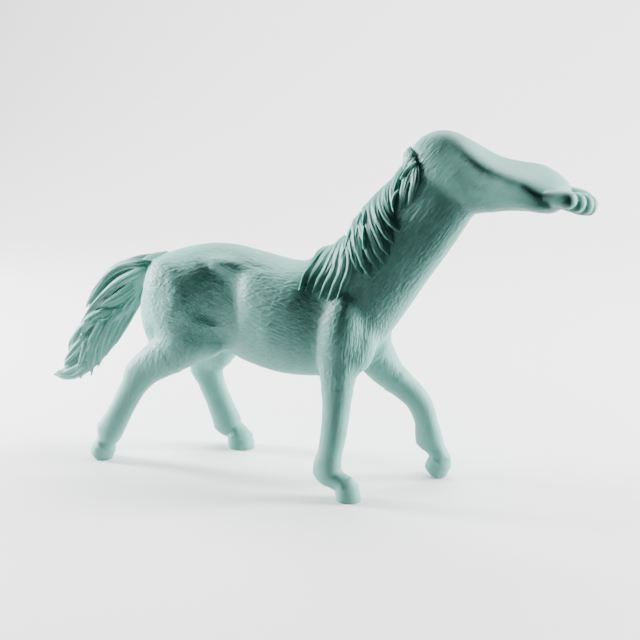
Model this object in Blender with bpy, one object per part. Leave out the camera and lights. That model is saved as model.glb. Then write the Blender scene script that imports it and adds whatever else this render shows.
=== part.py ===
# A walking horse whose neck ends in a human foot, sole upward, moulded in one piece.
# +X runs from tail to toes, +Y is the horse's left, +Z is up, and the hooves stand on z = 0.
import math

import bmesh
import bpy
import numpy as np
from mathutils import Matrix, Vector
from mathutils.bvhtree import BVHTree

# Driving sizes in metres. The carving is laid out in steps, a fixed share of the height.
figure_height = 0.231
steps_in_height = 231.0
step = figure_height / steps_in_height

# Meshing of the carved surface, in steps
body_voxel = 1.6
carving_voxel = 0.85
facet_budget = 9750
body_softening = 32
carving_softening = 2
lower_leg_from = 26
far_aside = 100
leg_sides = 24
toe_sides = 18
tail_sides = 28
strand_sides = 12

# Colour and finish
mint = (0.32, 0.60, 0.54)
finish_roughness = 0.55

# Girth of the body: along, height of the middle, half width, radius up, radius down
torso_rows = [
    (-110, 113, 9, 14, 18),
    (-104.5, 113, 18, 22.5, 27),
    (-89, 113, 24.5, 30, 33),
    (-66, 114, 25.5, 35, 36),
    (-50, 115, 20.5, 35.5, 37),
    (-39, 114, 22.5, 35, 38),
    (-27, 112, 28, 34.4, 39.3),
    (-7, 110, 30, 33.3, 41),
    (11, 110, 28.5, 34.7, 40.3),
    (22, 111, 24, 35.5, 39.7),
    (34, 112, 24, 36, 39),
    (49, 112, 21, 31, 33),
    (58, 110, 13, 20, 23),
    (63, 108, 5, 9, 10),
]

# Neck, from between the shoulders to the shin under the foot: along, height, half width,
# radius to the crest, radius to the throat
neck_rows = [
    (30, 110, 22, 27, 30),
    (40, 124, 21.5, 29.5, 31),
    (51, 139, 19.5, 28, 30.5),
    (62, 155, 17.5, 27, 30),
    (75, 171, 16, 27.5, 28.5),
    (86, 186, 15, 24.5, 27.5),
    (94, 199, 14.5, 22, 26),
    (97, 211, 11, 12, 16),
]

# Foot, from the heel to the root of the toes: along, height, half width, up to the sole,
# down to the instep, roll that lowers the little toe's side in degrees
foot_rows = [
    (76.5, 219, 5, 5, 7, 0),
    (80.5, 217.5, 9.5, 12.6, 14, 0),
    (89, 214.5, 13, 19.2, 20, 0),
    (99, 211, 14.5, 21.0, 24, 0),
    (108, 208.5, 15.5, 18.8, 26, 1),
    (118, 205.5, 16, 15.8, 23.2, 3),
    (129, 203, 17, 13.6, 18.6, 6),
    (141, 201.5, 19, 12.4, 13.8, 9),
    (153, 200.5, 20.5, 11.6, 11.2, 11),
    (161, 199, 21, 10.0, 10.2, 10),
    (168, 197, 19.5, 8.0, 9.2, 6),
    (172, 196, 15, 4.2, 6.0, 3),
]

# Toes, from the little toe to the big toe: place across, along at root and tip, height at
# root and tip, half width, half height
toe_rows = [
    (-15.8, 160, 182.3, 198.5, 198.0, 4.8, 5.0),
    (-8.6, 162, 185.6, 197.0, 195.2, 4.4, 5.8),
    (-1.4, 163, 188.2, 195.6, 193.0, 4.4, 6.2),
    (5.9, 164, 188.8, 195.0, 191.4, 4.6, 6.2),
    (15.0, 164, 183.0, 197.8, 190.6, 6.4, 6.2),
]

# Joints of each leg from the top down: places along, across and up
right_fore_joints = [(37, -16, 114), (38.5, -20, 80), (37.2, -25, 44), (35.2, -29, 17), (46.5, -30, 9.5)]
left_fore_joints = [(39, 16, 100), (52, 22, 74), (72.8, 29, 51), (80.2, 33, 25), (87, 34, 12)]
right_hind_joints = [(-66, -16, 106), (-76, -20, 83.5), (-106, -25, 59.5), (-127.5, -29, 19), (-130.5, -30, 9.5)]
left_hind_joints = [(-66, 16, 104), (-72, 21, 77), (-82.5, 26, 53), (-68.5, 29, 17), (-60, 29, 9)]

# Half width, front radius and back radius at shares of the way from joint to joint
fore_girths = [
    (0.0, 12, 13.5, 17),
    (0.6, 11.5, 11.5, 16.5),
    (1.0, 10, 10, 14),
    (1.5, 7.8, 7.8, 10),
    (1.85, 7.4, 7.6, 8.8),
    (2.1, 6.8, 7.4, 8.8),
    (2.5, 6.2, 6.8, 8.2),
    (2.8, 6.6, 7.6, 10.2),
    (3.0, 6.8, 7.4, 11.2),
    (3.2, 6.4, 6.9, 9.0),
    (3.4, 6.0, 6.4, 6.4),
    (4.0, 6.4, 5.6, 5.8),
]
hind_girths = [
    (0.0, 13, 22, 31),
    (0.6, 13, 19, 28),
    (1.0, 12, 15.5, 20.5),
    (1.4, 9.6, 12.5, 14),
    (1.8, 7.4, 10.4, 12),
    (2.0, 7.0, 9.8, 11.8),
    (2.2, 6.6, 9.0, 8.4),
    (2.5, 6.2, 8.4, 7.8),
    (2.8, 6.6, 8.2, 9.4),
    (3.0, 6.8, 8.0, 11.0),
    (3.2, 6.4, 7.2, 8.8),
    (3.4, 6.0, 6.4, 6.4),
    (4.0, 6.4, 5.6, 5.8),
]

# Each leg with its girths and the scale put on them
legs = [
    (right_fore_joints, fore_girths, 1.04),
    (left_fore_joints, fore_girths, 1.0),
    (right_hind_joints, hind_girths, 1.0),
    (left_hind_joints, hind_girths, 1.12),
]

# Hooves: coronet along, across, up, how far the toe is pitched down in degrees, radius
hoof_places = [
    (46.8, -30, 9.8, 0, 7.2),
    (86.8, 34, 12.2, 38, 7.4),
    (-131.2, -30, 10.8, 40, 7.3),
    (-60.6, 29, 9.6, 0, 8.3),
]
hoof_height = 10.4
hoof_lean = 1.6

# Muscles and bones under the hide: place, three radii, turn about Y, lean about X
muscle_rows = [
    (38.5, -19, 106, 14, 12, 27, 6, -6),
    (41, 19, 104, 14, 12, 27, 6, 6),
    (44, -15, 92, 13, 11, 14, 0, 0),
    (43, 16, 90, 13, 11, 14, 0, 0),
    (49.5, -13, 97, 9.5, 9, 18, 6, 0),
    (49.5, 13, 97, 9.5, 9, 18, 6, 0),
    (-82, -18, 112, 22, 14, 30, -18, -5),
    (-82, 18, 112, 22, 14, 30, -18, 5),
    (-97, -12, 104, 13, 12, 22, 0, 0),
    (-97, 12, 104, 13, 12, 22, 0, 0),
    (-62, -15, 88, 14, 12, 14, 30, 0),
    (-62, 15, 88, 14, 12, 14, 30, 0),
    (-8, -14, 106, 22, 16.5, 27, 0, 0),
    (-8, 14, 106, 22, 16.5, 27, 0, 0),
    (22, 0, 140, 18, 10, 12, -10, 0),
    (-45, -12, 141, 19, 8, 5.5, 4, 0),
    (-45, 12, 141, 19, 8, 5.5, 4, 0),
    (113, -12, 199, 7, 6, 6, 0, 0),
    (113, 12, 201, 7, 6, 6, 0, 0),
    (-96, -14, 95, 11, 12, 17, -8, 0),
    (-96, 14, 95, 11, 12, 17, -8, 0),
]

# Core of the tail: along, height of the middle, half width, radius to the top edge, to the
# under edge
tail_rows = [
    (-97, 133, 8, 7, 8),
    (-106, 131, 8.2, 8, 8),
    (-114.7, 127.5, 8, 10, 6.5),
    (-126.8, 118, 7.8, 14, 8),
    (-134.5, 110, 7.6, 16, 10.5),
    (-141.2, 100, 7.2, 17, 14),
    (-150.5, 84.3, 6.6, 16, 13.5),
    (-160.6, 69, 5.8, 13.5, 13),
    (-168, 58.5, 5.0, 11, 11),
    (-175.7, 49.5, 4.0, 7.5, 7.5),
    (-182.6, 44.7, 3.2, 4.5, 4.5),
    (-188.5, 42.9, 2.0, 2.2, 2.2),
]

# Locks of the tail: along and up at root, middle and tip, half width, thickness, and the
# faces of the tail that carry it, 1 for the near face and 2 for both
tail_locks = [
    (-103, 135, -133.5, 126, -163, 95, 3.0, 3.6, 2),
    (-103, 132, -131.5, 116.5, -165.5, 85, 3.0, 4.2, 1),
    (-105, 127.5, -128, 110, -149.5, 97, 3.6, 4.4, 2),
    (-136, 99, -157, 86, -175.5, 62, 3.6, 4.2, 2),
    (-152, 92, -167, 77, -179, 60, 2.8, 3.6, 1),
    (-154, 82, -168, 66, -184, 50, 3.2, 3.6, 2),
    (-162, 56, -175, 47.5, -192, 43.5, 4.0, 3.6, 2),
    (-105, 124, -119, 107, -140, 71.5, 3.0, 3.0, 2),
    (-113, 117, -130, 95, -148.5, 62, 3.0, 3.0, 1),
    (-128, 103, -142, 83, -155.5, 53, 3.2, 3.0, 2),
    (-142, 93, -153.5, 73, -162, 45.5, 3.2, 3.0, 1),
    (-156, 76, -162.5, 62, -171, 42.5, 3.0, 3.0, 2),
]

# Locks of the mane, from under the heel down to the withers: along and up at root, middle
# and tip, half width, thickness
mane_locks = [
    (82, 217.6, 70.5, 216.2, 61.5, 206.5, 3.2, 4.0),
    (82, 218.0, 66.5, 209.5, 60.5, 197, 3.2, 5.0),
    (82.3, 218, 71, 205, 69.5, 182, 3.0, 4.2),
    (83, 216.5, 78, 201.5, 75, 184, 2.8, 3.0),
    (83.3, 215, 84, 202, 80.5, 188, 2.6, 2.4),
    (64, 202, 66.5, 190, 71, 179, 2.1, 3.6),
    (60, 198, 65.5, 184, 75, 171.5, 2.2, 3.8),
    (56.2, 194, 63.5, 177.5, 72, 164, 2.2, 3.8),
    (52, 189.5, 61.5, 172.5, 69.5, 156, 2.3, 3.8),
    (48.5, 186, 58.8, 169, 66, 151, 2.3, 3.8),
    (45, 182, 55, 166, 62.5, 146.5, 2.4, 3.8),
    (43, 177.5, 50.5, 162, 58, 142, 2.6, 4.4),
    (41.5, 171, 45.5, 160, 53, 143, 2.4, 3.6),
    (41, 167, 46, 148, 37.5, 126.5, 2.3, 3.0),
    (39, 164, 41, 147, 31, 124.5, 2.3, 3.4),
    (36.5, 162.5, 35.8, 147, 25, 125.5, 2.3, 3.8),
    (33, 161.5, 30.3, 147.5, 20, 128, 2.4, 4.2),
    (29.5, 160, 24.8, 148.5, 15.5, 130, 2.5, 4.4),
    (25.5, 158, 19.2, 148, 11.5, 130, 2.7, 4.4),
]


def curve_through(rows, per_span):
    # Smooth curve through rows of numbers, with per_span samples from one row to the next.
    rows = np.array(rows, float)
    padded = np.vstack([2 * rows[0] - rows[1], rows, 2 * rows[-1] - rows[-2]])
    out = []
    for i in range(len(rows) - 1):
        a, b, c, d = padded[i : i + 4]
        for k in range(per_span):
            t = k / per_span
            out.append(
                0.5 * (2 * b + (c - a) * t + (2 * a - 5 * b + 4 * c - d) * t**2
                       + (3 * b - a - 3 * c + d) * t**3)
            )
    out.append(rows[-1])
    return np.array(out)


def unit(v):
    return v / max(np.linalg.norm(v), 1e-9)


def loft(bm, centres, sides, wide, high, low, around, square=1.0, uprights=None):
    # Skin over rings set square to a path. wide, high and low are the radii of each ring.
    centres = np.array(centres, float)
    rings = []
    for i, centre in enumerate(centres):
        along = unit(centres[min(i + 1, len(centres) - 1)] - centres[max(i - 1, 0)])
        side = np.array(sides[i] if np.ndim(sides) == 2 else sides, float)
        side = unit(side - along * (side @ along))
        upright = np.cross(side, along)
        if uprights is not None and upright @ uprights[i] < 0:
            upright = -upright
        ring = []
        for k in range(around):
            angle = 2 * math.pi * k / around
            c, s = math.cos(angle), math.sin(angle)
            c = math.copysign(abs(c) ** square, c)
            s = math.copysign(abs(s) ** square, s)
            reach = high[i] if s > 0 else low[i]
            ring.append(bm.verts.new(centre + side * (wide[i] * c) + upright * (reach * s)))
        rings.append(ring)
    for lower, upper in zip(rings, rings[1:]):
        for k in range(around):
            j = (k + 1) % around
            bm.faces.new((lower[k], lower[j], upper[j], upper[k]))
    bm.faces.new(rings[0][::-1])
    bm.faces.new(rings[-1])


def profile_loft(bm, rows, per_span=4, around=32, square=0.92):
    # Loft along the middle plane from rows of place, height, half width and two radii.
    dense = curve_through(rows, per_span)
    centres = [(r[0], 0.0, r[1]) for r in dense]
    rolls = np.radians(dense[:, 5]) if dense.shape[1] > 5 else np.zeros(len(dense))
    sides = np.stack([0 * rolls, -np.cos(rolls), -np.sin(rolls)], 1)
    loft(bm, centres, sides, dense[:, 2], dense[:, 3], dense[:, 4], around, square)


def ball(bm, centre, radii, turn=0.0, lean=0.0):
    # Muscle or bone lump: an ellipsoid turned about Y by turn and about X by lean, degrees.
    place = (
        Matrix.Translation(centre)
        @ Matrix.Rotation(math.radians(turn), 4, "Y")
        @ Matrix.Rotation(math.radians(lean), 4, "X")
        @ Matrix.Diagonal((*radii, 1.0))
    )
    bmesh.ops.create_uvsphere(bm, u_segments=20, v_segments=14, radius=1.0, matrix=place)


def leg(bm, joints, girths, girth_scale, first=0):
    # Limb through its joints, with the girths at shares of the way along them. first is the
    # sample at which it starts, twenty samples to a joint.
    path = curve_through(joints, 20)
    shares = np.array([g[0] for g in girths]) * 20
    at = np.arange(0, len(path))
    radii = [np.interp(at, shares, [g[k] for g in girths]) for k in (1, 2, 3)]
    wide, front, back = (r * girth_scale for r in radii)
    keep = list(range(round(first), len(path), 4))
    if keep[-1] != len(path) - 1:
        keep.append(len(path) - 1)
    loft(bm, path[keep], (0, -1, 0), wide[keep], front[keep], back[keep], leg_sides, 0.95)


def hoof(bm, coronet, toe_pitch, hoof_radius):
    # Hoof: a short rounded drum from the coronet to the sole, pitched about Y by toe_pitch.
    # A hoof that stands flat runs on below the ground plane, where it is trimmed.
    turn = Matrix.Rotation(math.radians(toe_pitch), 4, "Y")
    levels = [(-0.5, 0.5), (-0.1, 0.94), (0.08, 1.08), (0.22, 1.06), (0.55, 1.14), (0.86, 1.1)]
    levels.append((1.02, 1.06) if toe_pitch else (1.3, 0.98))
    rings = []
    around = leg_sides
    for share, swell in levels:
        ring = []
        forward = hoof_lean * min(max(share, 0), 1)
        for k in range(around):
            angle = 2 * math.pi * k / around
            c, s = math.cos(angle), math.sin(angle)
            long = 1.08 if c > 0 else 0.92
            radius = hoof_radius * swell
            local = Vector((forward + radius * long * c, radius * 0.94 * s, -hoof_height * share))
            ring.append(bm.verts.new(Vector(coronet) + turn @ local))
        rings.append(ring)
    for upper, lower in zip(rings, rings[1:]):
        for k in range(around):
            j = (k + 1) % around
            bm.faces.new((upper[k], upper[j], lower[j], lower[k]))
    bm.faces.new(rings[0][::-1])
    bm.faces.new(rings[-1])


def as_object(bm, name):
    bmesh.ops.recalc_face_normals(bm, faces=bm.faces)
    mesh = bpy.data.meshes.new(name)
    bm.to_mesh(mesh)
    bm.free()
    thing = bpy.data.objects.new(name, mesh)
    bpy.context.scene.collection.objects.link(thing)
    return thing


def fused(thing, voxel, smoothing, strength=0.5):
    # One closed skin round everything in the object, then softened.
    remesh = thing.modifiers.new("skin", "REMESH")
    remesh.mode = "VOXEL"
    remesh.voxel_size = voxel
    if smoothing:
        soften = thing.modifiers.new("soften", "SMOOTH")
        soften.factor = strength
        soften.iterations = round(smoothing)
    depsgraph = bpy.context.evaluated_depsgraph_get()
    mesh = bpy.data.meshes.new_from_object(thing.evaluated_get(depsgraph))
    thing.modifiers.clear()
    thing.data = mesh
    return thing


def toe(bm, across, root, tip, root_up, tip_up, half_width, half_height):
    # Toe: a rounded finger, drawn in behind its pad and full at the pad.
    shares = [0.0, 0.3, 0.5, 0.72, 0.9, 1.0]
    fullness = [0.5, 0.72, 0.92, 1.04, 0.9, 0.45]
    centres = [
        (root + (tip - root) * s, across, root_up + (tip_up - root_up) * s + 0.8 * math.sin(math.pi * s))
        for s in shares
    ]
    wide = [half_width * f for f in fullness]
    tall = [half_height * f for f in fullness]
    loft(bm, centres, (0, -1, 0), wide, tall, tall, toe_sides)


def body():
    bm = bmesh.new()
    profile_loft(bm, torso_rows)
    profile_loft(bm, neck_rows)
    profile_loft(bm, foot_rows)
    profile_loft(bm, tail_rows[:5])
    for joints, girths, girth_scale in legs:
        leg(bm, joints, girths, girth_scale)
    for x, y, z, long, wide, tall, turn, lean in muscle_rows:
        ball(bm, (x, y, z), (long, wide, tall), turn, lean)
    return fused(as_object(bm, "body"), body_voxel, body_softening)


def strand(bm, path, normals, half_width, thickness):
    # Lock of hair: a ridge that swells from its root and runs out to a point.
    count = len(path)
    shares = np.linspace(0, 1, count)
    swell = np.interp(shares, [0, 0.12, 0.45, 0.8, 1.0], [0.75, 0.92, 1.0, 0.72, 0.14])
    centres = np.array(path, float)
    sides = []
    for i in range(count):
        along = unit(centres[min(i + 1, count - 1)] - centres[max(i - 1, 0)])
        sides.append(unit(np.cross(along, normals[i])))
    loft(bm, centres, np.array(sides), half_width * swell, thickness * swell,
         thickness * swell, strand_sides, 1.0, normals)


def on_neck(skin, x, z):
    # Place and outward direction on the near face of the neck, over the point x, z.
    point, normal, _, _ = skin.ray_cast(Vector((x, -far_aside, z)), Vector((0, 1, 0)))
    if point is None:
        point, normal, _, _ = skin.find_nearest(Vector((x, 0, z)))
    return np.array(point), np.array(normal)


def mane(bm, skin):
    # Locks laid on the near side of the neck, each drawn from the crest over to its tip.
    for root_x, root_z, mid_x, mid_z, tip_x, tip_z, half_width, thickness in mane_locks:
        line = curve_through([(root_x, root_z), (mid_x, mid_z), (tip_x, tip_z)], 6)
        path, normals = [], []
        for i, (x, z) in enumerate(line):
            point, normal = on_neck(skin, x, z)
            path.append(point + normal * thickness * (0.5 - 0.2 * i / (len(line) - 1)))
            normals.append(normal)
        strand(bm, path, normals, half_width, thickness)


def on_tail(core, x, z, side):
    # Place and outward direction on one face of the tail, over the point x, z.
    nearest = int(np.argmin((core[:, 0] - x) ** 2 + (core[:, 1] - z) ** 2))
    ahead, behind = core[min(nearest + 1, len(core) - 1)], core[max(nearest - 1, 0)]
    along = unit(np.array([ahead[0] - behind[0], 0, ahead[1] - behind[1]]))
    top = np.array([along[2], 0, -along[0]])
    row = core[nearest]
    across = float(np.array([x - row[0], 0, z - row[1]]) @ top)
    across = max(-1.0, min(1.0, across / (row[3] if across > 0 else row[4])))
    bulge = row[2] * math.sqrt(1 - across**2)
    return np.array([x, -side * bulge, z]), unit(top * across * 0.8 - np.array([0, side, 0]))


def tail_hair(bm):
    # Locks drawn over both faces of the tail, their tips flared past its edges.
    core = curve_through(tail_rows, 6)
    for root_x, root_z, mid_x, mid_z, tip_x, tip_z, half_width, thickness, faces in tail_locks:
        line = curve_through([(root_x, root_z), (mid_x, mid_z), (tip_x, tip_z)], 7)
        for side in (1, -1)[:faces]:
            path, normals = [], []
            for x, z in line:
                point, normal = on_tail(core, x, z, side)
                path.append(point + normal * thickness * 0.3)
                normals.append(normal)
            strand(bm, path, normals, half_width, thickness)


def settled(thing):
    # Trim everything below the ground plane and close the soles flat.
    bm = bmesh.new()
    bm.from_mesh(thing.data)
    everything = bm.verts[:] + bm.edges[:] + bm.faces[:]
    cut = bmesh.ops.bisect_plane(
        bm, geom=everything, dist=1e-6, plane_co=(0, 0, 0), plane_no=(0, 0, 1), clear_inner=True
    )
    rims = [e for e in cut["geom_cut"] if isinstance(e, bmesh.types.BMEdge)]
    bmesh.ops.holes_fill(bm, edges=rims, sides=0)
    bmesh.ops.recalc_face_normals(bm, faces=bm.faces)
    bm.to_mesh(thing.data)
    bm.free()


def figure():
    carved = body()
    bm = bmesh.new()
    bm.from_mesh(carved.data)
    skin = BVHTree.FromBMesh(bm)
    for joints, girths, girth_scale in legs:
        leg(bm, joints, girths, girth_scale, lower_leg_from)
    profile_loft(bm, tail_rows, 4, tail_sides)
    tail_hair(bm)
    mane(bm, skin)
    for row in toe_rows:
        toe(bm, *row)
    for x, y, z, pitch, radius in hoof_places:
        hoof(bm, (x, y, z), pitch, radius)
    bpy.data.objects.remove(carved, do_unlink=True)
    thing = fused(as_object(bm, "horse"), carving_voxel, carving_softening)
    thin = thing.modifiers.new("facets", "DECIMATE")
    thin.use_collapse_triangulate = True
    thin.ratio = facet_budget / sum(len(face.vertices) - 2 for face in thing.data.polygons)
    depsgraph = bpy.context.evaluated_depsgraph_get()
    mesh = bpy.data.meshes.new_from_object(thing.evaluated_get(depsgraph))
    thing.modifiers.clear()
    thing.data = mesh
    settled(thing)
    return thing


for old in list(bpy.data.objects):
    bpy.data.objects.remove(old, do_unlink=True)
horse = figure()
horse.data.transform(Matrix.Scale(step, 4))
horse.data.shade_smooth()
material = bpy.data.materials.new("mint")
material.use_nodes = True
shader = material.node_tree.nodes["Principled BSDF"]
shader.inputs["Base Color"].default_value = (*mint, 1.0)
shader.inputs["Roughness"].default_value = finish_roughness
shader.inputs["Metallic"].default_value = 0.0
horse.data.materials.clear()
horse.data.materials.append(material)
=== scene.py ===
import math

import bmesh
import bpy
import numpy as np
from mathutils import Matrix, Vector, kdtree
from mathutils.bvhtree import BVHTree


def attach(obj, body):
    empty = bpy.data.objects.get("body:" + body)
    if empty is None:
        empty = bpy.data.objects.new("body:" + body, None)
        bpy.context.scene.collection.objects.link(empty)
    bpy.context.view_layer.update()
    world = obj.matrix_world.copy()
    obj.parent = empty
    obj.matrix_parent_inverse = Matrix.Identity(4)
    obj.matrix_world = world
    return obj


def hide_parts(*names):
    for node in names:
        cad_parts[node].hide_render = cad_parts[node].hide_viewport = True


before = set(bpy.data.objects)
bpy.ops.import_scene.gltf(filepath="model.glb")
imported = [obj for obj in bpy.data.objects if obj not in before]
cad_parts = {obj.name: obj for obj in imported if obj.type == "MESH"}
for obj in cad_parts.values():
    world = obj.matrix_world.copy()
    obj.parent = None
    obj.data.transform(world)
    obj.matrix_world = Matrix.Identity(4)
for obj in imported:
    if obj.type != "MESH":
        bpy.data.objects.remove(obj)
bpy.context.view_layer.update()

# A walking horse whose neck ends in a human foot, sole up, moulded in one mint plastic.
# Everything is carved in millimetres, +X towards the toes and the hooves on z = 0, and
# brought down to metres when a piece is finished.
metre = 0.001


# Tools that every piece is carved with

def curveThrough(rows, perSpan):
    # smooth curve through rows of numbers, perSpan samples from one row to the next
    rows = np.array(rows, float)
    padded = np.vstack([2 * rows[0] - rows[1], rows, 2 * rows[-1] - rows[-2]])
    out = []
    for i in range(len(rows) - 1):
        a, b, c, d = padded[i:i + 4]
        for k in range(perSpan):
            t = k / perSpan
            out.append(0.5 * (2 * b + (c - a) * t + (2 * a - 5 * b + 4 * c - d) * t ** 2
                              + (3 * b - a - 3 * c + d) * t ** 3))
    out.append(rows[-1])
    return np.array(out)


def unit(v):
    return v / max(np.linalg.norm(v), 1e-9)


def ramp(values, low, high):
    # 0 below low, 1 above high, eased between
    t = np.clip((np.asarray(values, float) - low) / (high - low), 0.0, 1.0)
    return t * t * (3 - 2 * t)


def skinOver(bm, rings):
    # closed skin over a row of rings of points
    made = [[bm.verts.new(p) for p in ring] for ring in rings]
    count = len(made[0])
    for lower, upper in zip(made, made[1:]):
        for k in range(count):
            j = (k + 1) % count
            bm.faces.new((lower[k], lower[j], upper[j], upper[k]))
    bm.faces.new(made[0][::-1])
    bm.faces.new(made[-1])


def frames(centres, sides):
    # side and upright directions square to the path at each centre
    out = []
    for i in range(len(centres)):
        along = unit(centres[min(i + 1, len(centres) - 1)] - centres[max(i - 1, 0)])
        side = np.array(sides[i] if np.ndim(sides) == 2 else sides, float)
        side = unit(side - along * (side @ along))
        out.append((side, np.cross(side, along)))
    return out


def loft(bm, centres, sides, wide, high, low, around=40, square=1.0):
    # skin over ovals set square to a path, with their own radii to the side, up and down
    centres = np.array(centres, float)
    rings = []
    for i, (side, upright) in enumerate(frames(centres, sides)):
        ring = []
        for k in range(around):
            angle = 2 * math.pi * k / around
            c = math.copysign(abs(math.cos(angle)) ** square, math.cos(angle))
            s = math.copysign(abs(math.sin(angle)) ** square, math.sin(angle))
            reach = high[i] if s > 0 else low[i]
            ring.append(centres[i] + side * (wide[i] * c) + upright * (reach * s))
        rings.append(ring)
    skinOver(bm, rings)


def profileLoft(bm, rows, perSpan=4, around=40, square=0.92):
    # loft along the middle plane from rows of place, height, half width, two radii and roll
    dense = curveThrough(rows, perSpan)
    centres = [(r[0], 0.0, r[1]) for r in dense]
    rolls = np.radians(dense[:, 5]) if dense.shape[1] > 5 else np.zeros(len(dense))
    sides = np.stack([0 * rolls, -np.cos(rolls), -np.sin(rolls)], 1)
    loft(bm, centres, sides, dense[:, 2], dense[:, 3], dense[:, 4], around, square)


def meshObject(bm, name):
    bmesh.ops.recalc_face_normals(bm, faces=bm.faces)
    mesh = bpy.data.meshes.new(name)
    bm.to_mesh(mesh)
    bm.free()
    thing = bpy.data.objects.new(name, mesh)
    bpy.context.scene.collection.objects.link(thing)
    return thing


def readOut(mesh, field):
    # places ("co") or normals ("normal") of all the vertices, one row each
    values = np.empty(len(mesh.vertices) * 3)
    mesh.vertices.foreach_get(field, values)
    return values.reshape(-1, 3)


def moveTo(mesh, places):
    mesh.vertices.foreach_set("co", places.ravel())
    mesh.update()


def markRelief(mesh, values):
    # how far each place stands out, for the highlight painted on crests and the shade painted in
    # grooves
    relief = mesh.attributes.new("relief", "FLOAT", "POINT")
    relief.data.foreach_set("value", values.astype(np.float32))


def applied(thing):
    # the object's modifiers worked into its mesh
    depsgraph = bpy.context.evaluated_depsgraph_get()
    mesh = bpy.data.meshes.new_from_object(thing.evaluated_get(depsgraph))
    old = thing.data
    thing.modifiers.clear()
    thing.data = mesh
    bpy.data.meshes.remove(old)
    return thing


def fused(thing, voxel, softening):
    # one closed skin round all the volumes in the object, then softened
    skin = thing.modifiers.new("skin", "REMESH")
    skin.mode = "VOXEL"
    skin.voxel_size = voxel
    soften = thing.modifiers.new("soften", "SMOOTH")
    soften.factor = 0.5
    soften.iterations = softening
    return applied(thing)


def thinned(thing, triangles):
    # fewer triangles, kept where the surface bends
    now = sum(len(face.vertices) - 2 for face in thing.data.polygons)
    if now > triangles:
        thin = thing.modifiers.new("thin", "DECIMATE")
        thin.use_collapse_triangulate = True
        thin.ratio = triangles / now
        applied(thing)
    return thing


def trimmedAtGround(thing):
    # nothing is left below the ground plane, and the soles are closed flat
    bm = bmesh.new()
    bm.from_mesh(thing.data)
    everything = bm.verts[:] + bm.edges[:] + bm.faces[:]
    cut = bmesh.ops.bisect_plane(
        bm, geom=everything, dist=1e-6, plane_co=(0, 0, 0), plane_no=(0, 0, 1), clear_inner=True)
    rims = [e for e in cut["geom_cut"] if isinstance(e, bmesh.types.BMEdge)]
    if rims:
        bmesh.ops.holes_fill(bm, edges=rims, sides=0)
    bmesh.ops.recalc_face_normals(bm, faces=bm.faces)
    bm.to_mesh(thing.data)
    bm.free()


# Body

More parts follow.
